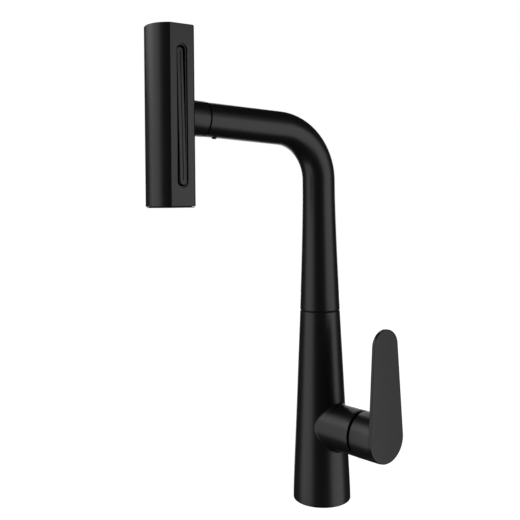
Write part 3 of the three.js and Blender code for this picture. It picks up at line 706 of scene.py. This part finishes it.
# ---- Aerator ---------------------------------------------------------------------------------
# A plastic cartridge snapped into the plate, with a woven stainless screen across its outlet.
SCREEN_R = 4.75
SCREEN_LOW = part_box("aerator_screen")[0].z / MM
WIRE = 0.16
AERATOR_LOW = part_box("aerator")[0].z / MM
AERATOR_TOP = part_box("aerator")[1].z / MM
AERATOR_R = 8.5
OUTLET_R = 5
POCKET_R = 6.8
aerator_profile = [(OUTLET_R, AERATOR_LOW + 0.2), (OUTLET_R + 0.4, AERATOR_LOW), (AERATOR_R, AERATOR_LOW),
                   (AERATOR_R, AERATOR_TOP), (OUTLET_R, AERATOR_TOP), (OUTLET_R, 260.7), (POCKET_R, 259.2),
                   (POCKET_R, 257.1)]
aerator = turned("aerator_cartridge", aerator_profile, AT_TRUNK, ease=0.25)
grey = moulded("grey_plastic", (0.2, 0.21, 0.22), 0.45)
finish_piece(aerator, grey, "head", "grey_plastic", "aerator")


def screen_tree():
    """A round woven screen: parallel wires on the circle's chords, the same across them, and a rim."""
    size, add, end = tree("woven_screen", Radius="Float", Wires="Int", Wire="Float", Centre="Vector")
    gaps = add("ShaderNodeMath", size["Wires"], 1.0, operation="ADD")
    pitch = add("ShaderNodeMath", add("ShaderNodeMath", size["Radius"], 2.0, operation="MULTIPLY"), gaps,
                operation="DIVIDE")
    first = add("ShaderNodeMath", pitch, size["Radius"], operation="SUBTRACT")
    line = add("GeometryNodeMeshLine", Count=size["Wires"], Offset=add("ShaderNodeCombineXYZ", pitch),
               Start_Location=add("ShaderNodeCombineXYZ", first))
    at = add("ShaderNodeSeparateXYZ", add("GeometryNodeInputPosition"))
    left = add("ShaderNodeMath", add("ShaderNodeMath", size["Radius"], 2.0, operation="POWER"),
               add("ShaderNodeMath", at, 2.0, operation="POWER"), operation="SUBTRACT")
    half_chord = add("ShaderNodeMath", left, operation="SQRT")
    chord = add("ShaderNodeMath", half_chord, 2.0, operation="MULTIPLY")
    wire = add("GeometryNodeMeshCylinder", Vertices=8, Radius=size["Wire"], Depth=1.0)
    stretch = add("ShaderNodeCombineXYZ", 1.0, 1.0, chord)
    wires = add("GeometryNodeInstanceOnPoints", line, Instance=wire, Rotation=(math.pi / 2, 0, 0),
                Scale=stretch)
    above = add("ShaderNodeMath", size["Wire"], 1.6, operation="MULTIPLY")
    across = add("GeometryNodeTransform", wires, Translation=add("ShaderNodeCombineXYZ", 0.0, 0.0, above),
                 Rotation=(0, 0, math.pi / 2))
    rim = add("GeometryNodeCurvePrimitiveCircle", Resolution=48, Radius=size["Radius"])
    bead = add("GeometryNodeCurvePrimitiveCircle", Resolution=10,
               Radius=add("ShaderNodeMath", size["Wire"], 1.9, operation="MULTIPLY"))
    rim = add("GeometryNodeCurveToMesh", rim, bead)
    shapes = (wires, across, rim)
    return end(*[add("GeometryNodeTransform", shape, Translation=size["Centre"]) for shape in shapes])


def metal(name, colour, roughness, grain=(60, 60, 900), relief=0.05):
    """Turned or drawn metal with fine tool marks and a slightly cloudy gloss."""
    material = bpy.data.materials.new(name)
    nodes, links = nodes_of(material)
    place = nodes.new("ShaderNodeTexCoord")
    stretch = nodes.new("ShaderNodeMapping")
    stretch.inputs["Scale"].default_value = grain
    marks = nodes.new("ShaderNodeTexNoise")
    marks.inputs["Scale"].default_value = 1
    marks.inputs["Detail"].default_value = 5
    gloss = nodes.new("ShaderNodeMapRange")
    gloss.inputs["To Min"].default_value = roughness - 0.08
    gloss.inputs["To Max"].default_value = roughness + 0.1
    tone = nodes.new("ShaderNodeMixRGB")
    tone.inputs["Color1"].default_value = (*[c * 0.86 for c in colour], 1)
    tone.inputs["Color2"].default_value = (*colour, 1)
    bump = nodes.new("ShaderNodeBump")
    bump.inputs["Strength"].default_value = relief
    bump.inputs["Distance"].default_value = 0.00005
    body = nodes.new("ShaderNodeBsdfPrincipled")
    body.inputs["Metallic"].default_value = 1
    output = nodes.new("ShaderNodeOutputMaterial")
    links.new(place.outputs["Object"], stretch.inputs["Vector"])
    links.new(stretch.outputs["Vector"], marks.inputs["Vector"])
    links.new(marks.outputs["Fac"], gloss.inputs["Value"])
    links.new(marks.outputs["Fac"], tone.inputs["Fac"])
    links.new(marks.outputs["Fac"], bump.inputs["Height"])
    links.new(tone.outputs["Color"], body.inputs["Base Color"])
    links.new(gloss.outputs["Result"], body.inputs["Roughness"])
    links.new(bump.outputs["Normal"], body.inputs["Normal"])
    links.new(body.outputs[0], output.inputs["Surface"])
    return material


steel = metal("stainless_steel", (0.62, 0.62, 0.61), 0.28)
screen = grown("aerator_mesh", screen_tree(), Radius=(SCREEN_R - 0.3) * MM, Wires=9, Wire=WIRE * MM,
               Centre=Vector((0, -TRUNK_AT, SCREEN_LOW + 0.45)) * MM, Material=steel)
finish_piece(screen, steel, "head", "steel", "aerator_screen")


# ---- Neck ------------------------------------------------------------------------------------
# A turned collar behind the head; its spigot slides into the arm, and a thin dark seal shows
# between the two. A small screw under the arm holds the dock.
NECK_R = 14.1
SPIGOT_R = 9.6
SPIGOT_END = -17.6
TAIL_R = 8.4
TAIL_END = 22.6
neck_profile = [(7.4, SPIGOT_END), (SPIGOT_R, SPIGOT_END), (SPIGOT_R, 1.1), (NECK_R, 1.1), (NECK_R, 17.2),
                (TAIL_R, 17.2), (TAIL_R, TAIL_END), (4.4, TAIL_END), (4.4, 12), (7.4, 12)]
neck = turned("neck_casting", neck_profile, ARM, ease=0.35)
finish_piece(neck, coat, "head", "black_coat", "neck_collar")
dock_seal = ring_piece("dock_gasket", 10.4, 12.9, 0.25, 0.75, ARM, ease=0.1)
finish_piece(dock_seal, rubber, "spout", "rubber", "dock_seal")

insert_profile = [(8.4, -28), (11.3, -28), (11.3, -0.4), (10, -0.4), (10, -26), (8.4, -26)]
insert = turned("dock_sleeve", insert_profile, ARM)
finish_piece(insert, plastic, "spout", "black_plastic", "dock_insert")

# The screw's own z points down out of the arm.
SCREW_PLACE = ARM @ Matrix.Translation((0, 0, -9.9)) @ Matrix.Rotation(math.pi / 2, 4, "X")
screw_profile = [(0, 10.15), (1.2, 10.15), (1.2, 14), (2.1, 14), (2.0, 14.45), (1.5, 14.7), (1.1, 14.7),
                 (1.1, 14.1), (0, 13.9)]
dock_screw = turned("dock_lock_screw", screw_profile, SCREW_PLACE, ease=0.12, steps=48)
finish_piece(dock_screw, coat, "spout", "black_coat", "dock_screw")


# ---- Rocker ----------------------------------------------------------------------------------
# The spray selector: a long narrow bar with rounded edges and a fine groove down its face, on a
# pin at its middle. It rests with its lower half out.
ROCKER_TILT = math.radians(2)
ROCKER_FACE = 17
ROCKER_THICK = 3.8
ROCKER_EDGE = 0.8
ROCKER_WIDTH = 6
ROCKER_LENGTH = 105
GROOVE_WIDTH = 1.1
GROOVE_LENGTH = 98
GROOVE_DEPTH = 0.6
PIVOT_X = 12.8
pivot = Matrix.Translation((PIVOT_X, 0, HEAD_MID))
tilted = pivot @ Matrix.Rotation(-ROCKER_TILT, 4, "Y") @ pivot.inverted()
bar_outline = pill_outline(ROCKER_WIDTH, ROCKER_LENGTH)
bar_place = tilted @ UPRIGHT
bar = prism("selector_bar", bar_outline, ROCKER_FACE - ROCKER_THICK, ROCKER_FACE, ROCKER_EDGE, bar_place)
groove_outline = pill_outline(GROOVE_WIDTH, GROOVE_LENGTH)
groove = prism("groove", groove_outline, ROCKER_FACE - GROOVE_DEPTH, ROCKER_FACE + 1, 0.2, bar_place, cap=0.2)
softened(boolean(bar, "DIFFERENCE", groove), 0.12, 2)


def brick(name, low, high, place=Matrix(), ease=0.2):
    """A box between two corners with its edges rounded a little."""
    xs, ys, zs = zip(low, high)
    points = [place @ Vector((x, y, z)) for x in xs for y in ys for z in zs]
    faces = [(0, 1, 3, 2), (4, 6, 7, 5), (0, 4, 5, 1), (2, 3, 7, 6), (0, 2, 6, 4), (1, 5, 7, 3)]
    return softened(solid(name, points, faces), ease, 2)


def square_bar(name, x_low, x_high, half):
    """A square bar along X through the rocker's middle."""
    low = (x_low, -RECESS_AT - half, HEAD_MID - half)
    return brick(name, low, (x_high, -RECESS_AT + half, HEAD_MID + half), tilted)


lug = square_bar("lug", 11, 13.8, 2.6)
finger = square_bar("finger", 6.6, 11.4, 1.5)
rocker = joined("selector_rocker", bar, lug, finger)
finish_piece(rocker, coat, "rocker", "black_coat", "spray_rocker")


# ---- Lever -----------------------------------------------------------------------------------
# A round cap and a long flat paddle in one casting, coated like the body. A grub screw behind
# a small plug holds it on the cartridge's stem.
CAP_START = 52
CAP_R = 19.1
CAP_END_R = 18.8
PADDLE_BACK = 73.4
PADDLE_FRONT = 76.4
PADDLE_LENGTH = 75.6
PADDLE_TOP_R = 13.5
PADDLE_UP = 0.6
PADDLE_WIDEN = 1.09


def paddle_outline(inset):
    """Two circles and their common tangents: the big one round the cap, the small one at the top."""
    lean = math.asin((CAP_END_R - PADDLE_TOP_R) / PADDLE_LENGTH)
    low = arc_points((0, 0), CAP_END_R - inset, -math.pi / 2 - lean, math.pi / 2 + lean, 64)
    top = (-PADDLE_LENGTH, 0)
    high = arc_points(top, PADDLE_TOP_R - inset, math.pi / 2 + lean, 1.5 * math.pi - lean, 48)
    return [(down - PADDLE_UP, across * PADDLE_WIDEN) for down, across in low + high]


HUB_START = 60.2
HUB_R = 8.5
CAP_CEILING = 71
SOCKET_R = 4.2
SOCKET_END = 68.5
CAP_BORE = 18.1
cap_profile = [(CAP_BORE, CAP_START), (CAP_R, CAP_START), (CAP_END_R, PADDLE_BACK + 0.02),
               (CAP_END_R - 1, 75), (0, 75), (0, SOCKET_END), (SOCKET_R, SOCKET_END),
               (SOCKET_R, HUB_START), (HUB_R, HUB_START), (HUB_R, CAP_CEILING), (17.2, CAP_CEILING),
               (17.2, HUB_START), (CAP_BORE, 57)]
cap = turned("cap", cap_profile, SIDE, ease=0.3)
paddle = prism("paddle", paddle_outline, PADDLE_BACK, PADDLE_FRONT, ease=0.45, place=SIDE)
lever = joined("lever_casting", cap, paddle)
finish_piece(lever, coat, "lever", "black_coat", "lever_handle")

PIVOT = 34.7
DOME_START = 50


def dome_arc(radius, end, steps):
    """Part of a ball round the lever's pivot, from the boss's end to a height over it."""
    heights = [DOME_START + (end - DOME_START) * k / steps for k in range(steps + 1)]
    return [(math.sqrt(radius ** 2 - (height - PIVOT) ** 2), height) for height in heights]


trim = turned("trim_dome", dome_arc(23, 53.2, 8) + dome_arc(21.6, 51.5, 6)[::-1], SIDE, ease=0)
finish_piece(trim, plastic, "base", "black_plastic", "trim_sleeve")
ACROSS = SIDE @ Matrix.Translation((0, 0, 66)) @ Matrix.Rotation(-math.pi / 2, 4, "X")
plug = turned("lever_plug", [(0, 15.5), (2.5, 15.5), (2.5, 18.7), (1.4, 18.9), (0, 18.9)], ACROSS, steps=48)
finish_piece(plug, plastic, "lever", "black_plastic", "index_plug")


# ---- Hoses -----------------------------------------------------------------------------------
# The pull-out hose is rubber under a tight nylon braid. Its upper part runs up the spout and
# along the arm; its lower part drops through the body to a coupling.
HOSE_R = 6


def braided(name, place):
    """Nylon braid, woven round an axis that place brings to z, so that it stays even along the hose."""
    material = bpy.data.materials.new(name)
    nodes, links = nodes_of(material)
    where = nodes.new("ShaderNodeTexCoord")
    turn = nodes.new("ShaderNodeMapping")
    turn.vector_type = "TEXTURE"
    turn.inputs["Location"].default_value = place.translation * MM
    turn.inputs["Rotation"].default_value = place.to_euler()
    split = nodes.new("ShaderNodeSeparateXYZ")
    links.new(where.outputs["Object"], turn.inputs["Vector"])
    links.new(turn.outputs["Vector"], split.inputs["Vector"])

    def maths(operation, first, second=None):
        node = nodes.new("ShaderNodeMath")
        node.operation = operation
        for socket, value in zip(node.inputs, (first, second)):
            if isinstance(value, (int, float)):
                socket.default_value = value
            elif value is not None:
                links.new(value, socket)
        return node.outputs[0]

    strands = maths("MULTIPLY", maths("ARCTAN2", split.outputs["Y"], split.outputs["X"]), 12)
    pitch = maths("MULTIPLY", split.outputs["Z"], 2200)
    left = maths("SINE", maths("ADD", strands, pitch))
    right = maths("SINE", maths("SUBTRACT", strands, pitch))
    weave = maths("MULTIPLY_ADD", maths("MULTIPLY", left, right), 0.5)
    bump = nodes.new("ShaderNodeBump")
    bump.inputs["Strength"].default_value = 0.7
    bump.inputs["Distance"].default_value = 0.0003
    tone = nodes.new("ShaderNodeMixRGB")
    tone.inputs["Color1"].default_value = (0.012, 0.012, 0.013, 1)
    tone.inputs["Color2"].default_value = (0.05, 0.05, 0.053, 1)
    body = nodes.new("ShaderNodeBsdfPrincipled")
    body.inputs["Roughness"].default_value = 0.6
    body.inputs["Sheen Weight"].default_value = 0.3
    output = nodes.new("ShaderNodeOutputMaterial")
    links.new(weave, bump.inputs["Height"])
    links.new(weave, tone.inputs["Fac"])
    links.new(tone.outputs["Color"], body.inputs["Base Color"])
    links.new(bump.outputs["Normal"], body.inputs["Normal"])
    links.new(body.outputs[0], output.inputs["Surface"])
    return material


HOSE_START = 0.4
HOSE_END = SPOUT_LENGTH - 14.3
skin_line = [(HOSE_R, HOSE_START + (HOSE_END - HOSE_START) * k / 120) for k in range(121)]
hose_line = [(0, HOSE_START), *skin_line, (0, HOSE_END)]
hose = along_spout("pull_out_hose", hose_line, steps=48, loop=False)
hose.data.materials.append(braided("hose_braid", ARM))
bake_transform(hose)
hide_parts("upper_hose", "front_hose")

DROP_LOW = -74
DROP_HIGH = 164.4
DROP_ASIDE = Vector((-8, 0, 0))
CROSS_LOW = 62
CROSS_LENGTH = 60


def drop_ring(height, radius):
    """A ring of the lower hose, which stands aside below and crosses over to the column's axis."""
    share = max(0.0, min(1.0, (height - CROSS_LOW) / CROSS_LENGTH))
    aside = DROP_ASIDE * (1 - share * share * (3 - 2 * share))
    return [aside + point for point in circle(radius, height, 48)]


heights = [DROP_LOW + (DROP_HIGH - DROP_LOW) * k / 80 for k in range(81)]
walls = [drop_ring(height, HOSE_R) for height in heights]
drop_rings = [drop_ring(DROP_LOW, 0), *walls, drop_ring(DROP_HIGH, 0)]
low_hose = solid("hose_drop", *skin(drop_rings, loop=False))
finish_piece(low_hose, braided("drop_braid", Matrix.Translation(DROP_ASIDE)), "base", "braid", "lower_hose")


# ---- Threaded shank, nut and clamp -------------------------------------------------------------
# A threaded brass tube screws into the foot and passes through the worktop. A rubber washer and
# a steel plate are drawn up under the worktop by a hexagon nut and its two clamp screws.
SHANK_R = 16.5
SHANK_BORE = 14.6
SHANK_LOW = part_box("mounting_shank")[0].z / MM
SHANK_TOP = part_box("mounting_shank")[1].z / MM
THREAD_PITCH = 1.5
NUT_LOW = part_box("mounting_nut")[0].z / MM
NUT_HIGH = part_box("mounting_nut")[1].z / MM
NUT_CORNER_R = 25.4
CLAMP_SCREW_AT = 21.2
CLAMP_SCREW_LOW = -62
CLAMP_SCREW_TOP = -44.1
SCREW_HEAD_R = 3.9
SCREW_HEAD_TOP = -59
SCREW_CORE_R = 1.75
RIDGE = 0.55


def thread_tree():
    """A rounded ridge that winds up a cylinder."""
    size, add, end = tree("screw_thread", Radius="Float", Ridge="Float", Pitch="Float", Length="Float",
                          Start="Vector")
    turns = add("ShaderNodeMath", size["Length"], size["Pitch"], operation="DIVIDE")
    helix = add("GeometryNodeCurveSpiral", Resolution=40, Rotations=turns, Start_Radius=size["Radius"],
                End_Radius=size["Radius"], Height=size["Length"])
    ridge = add("GeometryNodeCurvePrimitiveCircle", Resolution=6, Radius=size["Ridge"])
    wound = add("GeometryNodeCurveToMesh", helix, ridge, Fill_Caps=True)
    return end(add("GeometryNodeTransform", wound, Translation=size["Start"]))


def row_tree():
    """Copies of one item in a straight row."""
    size, add, end = tree("items_in_a_row", Count="Int", First="Vector", Step="Vector", Item="Object")
    points = add("GeometryNodeMeshLine", Count=size["Count"], Start_Location=size["First"],
                 Offset=size["Step"])
    item = add("GeometryNodeObjectInfo", Object=size["Item"]).node.outputs["Geometry"]
    return end(add("GeometryNodeInstanceOnPoints", points, Instance=item))


brass = metal("machined_brass", (0.72, 0.53, 0.27), 0.3)
thread = thread_tree()
tube = ring_piece("shank_tube", SHANK_BORE, SHANK_R - RIDGE, SHANK_LOW, SHANK_TOP, ease=0.5)
winding = grown("shank_thread", thread, Radius=(SHANK_R - 0.05 - RIDGE) * MM, Ridge=RIDGE * MM,
                Pitch=THREAD_PITCH * MM, Length=(SHANK_TOP - SHANK_LOW - 2 * THREAD_PITCH) * MM,
                Start=Vector((0, 0, SHANK_LOW + THREAD_PITCH)) * MM, Material=brass)
finish_piece(joined("threaded_shank", tube, winding), brass, "base", "brass", "mounting_shank")

NUT_CHAMFER = 0.9
nut_profile = [(0, NUT_LOW), (NUT_CORNER_R - NUT_CHAMFER, NUT_LOW), (NUT_CORNER_R, NUT_LOW + NUT_CHAMFER),
               (NUT_CORNER_R, NUT_HIGH - NUT_CHAMFER), (NUT_CORNER_R - NUT_CHAMFER, NUT_HIGH), (0, NUT_HIGH)]
hexagon = turned("clamp_nut", nut_profile, Matrix.Rotation(math.pi / 2, 4, "Z"), ease=0, steps=6)
nut_bore = rod("nut_bore", SHANK_R + 0.3, NUT_LOW - 2, NUT_HIGH + 2)
bores = [rod("bore", 2.4, NUT_LOW - 2, NUT_HIGH + 2, Matrix.Translation((0, y, 0)), steps=32)
         for y in (-CLAMP_SCREW_AT, CLAMP_SCREW_AT)]
boolean(hexagon, "DIFFERENCE", nut_bore, *bores)
hexagon.data.set_sharp_from_angle(angle=math.radians(25))
finish_piece(hexagon, brass, "base", "brass", "mounting_nut")

under_washer = ring_piece("under_washer", 17, 27, -41, -38, ease=0.8)
finish_piece(under_washer, rubber, "base", "rubber", "worktop_washer")
clamp_ring = ring_piece("clamp_ring", 17, 27, -43.8, -41.3, ease=0.5)
finish_piece(clamp_ring, steel, "base", "steel", "clamp_plate")

screw_body = [(0, CLAMP_SCREW_LOW), (SCREW_HEAD_R, CLAMP_SCREW_LOW), (SCREW_HEAD_R, SCREW_HEAD_TOP),
              (SCREW_CORE_R, SCREW_HEAD_TOP), (SCREW_CORE_R, -45), (1.2, CLAMP_SCREW_TOP),
              (0, CLAMP_SCREW_TOP)]
screw = turned("clamp_screw", screw_body, ease=0.3, steps=48)
driver_slot = brick("slot", (-5, -0.6, CLAMP_SCREW_LOW - 1), (5, 0.6, CLAMP_SCREW_LOW + 1.4), ease=0.05)
boolean(screw, "DIFFERENCE", driver_slot)
screw_thread = grown("screw_thread", thread, Radius=1.8 * MM, Ridge=0.28 * MM, Pitch=0.8 * MM,
                     Length=13 * MM, Start=Vector((0, 0, SCREW_HEAD_TOP + 0.4)) * MM, Material=steel)
one_screw = joined("one_screw", screw, screw_thread)
clamp_screws = grown("clamp_screws", row_tree(), Count=2, First=Vector((0, -CLAMP_SCREW_AT, 0)) * MM,
                     Step=Vector((0, 2 * CLAMP_SCREW_AT, 0)) * MM, Item=one_screw, Material=steel)
bpy.data.objects.remove(one_screw)
finish_piece(clamp_screws, steel, "base", "steel", "clamp_screw_front", "clamp_screw_rear")


# ---- Inlet nipples and hose coupling -----------------------------------------------------------
# Barbed brass nipples inside the foot for the hot, cold and mixed water, and the turned coupling
# that ends the pull-out hose under the worktop.
NIPPLE_BORE = 1.9
BARB_R = 3.4
STEM_R = 2.9
COLLAR_R = 3.9
NIPPLE_TOP = 26
barbs = [(NIPPLE_BORE, 0), (2.8, 0), (BARB_R, 3), (STEM_R, 3.05), (BARB_R, 6), (STEM_R, 6.05), (STEM_R, 11.5),
         (COLLAR_R, 11.5), (COLLAR_R, 15.7), (2.7, 15.7), (2.7, NIPPLE_TOP), (NIPPLE_BORE, NIPPLE_TOP)]
TURNED_SIDE = Matrix.Rotation(BOSS_YAW, 4, "Z")
nipples = [turned("nipple", barbs, TURNED_SIDE @ Matrix.Translation((x, y, 0)), ease=0.15, steps=48)
           for x, y in ((7, 7.5), (7, -7.5), (10.1, 0))]
finish_piece(joined("water_nipples", *nipples), brass, "base", "brass", "hot_inlet_nipple",
             "cold_inlet_nipple", "mixed_outlet_nipple")
COUPLING_LOW = -97
COUPLING_TOP = -68
FERRULE_R = 7.4
FLANGE_R = 8.4
coupling_profile = [(3.5, COUPLING_LOW), (4.6, COUPLING_LOW), (4.6, -88), (5.4, -88), (5.4, -84),
                    (FLANGE_R, -84), (FLANGE_R, -77), (FERRULE_R, -77), (FERRULE_R, COUPLING_TOP),
                    (6.3, COUPLING_TOP), (6.3, -74.4), (3.5, -74.4)]
coupling = turned("hose_end_coupling", coupling_profile, Matrix.Translation(DROP_ASIDE), ease=0.35)
finish_piece(coupling, brass, "base", "brass", "hose_coupling")


# ---- Carried-over inner pieces ---------------------------------------------------------------
# What the faucet holds inside keeps its CAD shape and gets the finish of its material.
finishes = {
    "black_coat": coat,
    "black_plastic": plastic,
    "rubber": rubber,
    "brass": brass,
    "steel": steel,
    "white_plastic": moulded("white_acetal", (0.8, 0.79, 0.76), 0.42),
    "grey_plastic": grey,
    "ceramic": moulded("lapped_ceramic", (0.78, 0.76, 0.7), 0.25, grain=1500, relief=0.02),
    "ferrite": moulded("ferrite", (0.06, 0.06, 0.065), 0.6, grain=1800, relief=0.12),
    "braid": bpy.data.materials["drop_braid"],
}
for part in frame["record"]["subparts"]:
    node = frame["nodes"][part["node"]]
    if not node.hide_render:
        node.data.materials.clear()
        node.data.materials.append(finishes[part["material_slot"]])
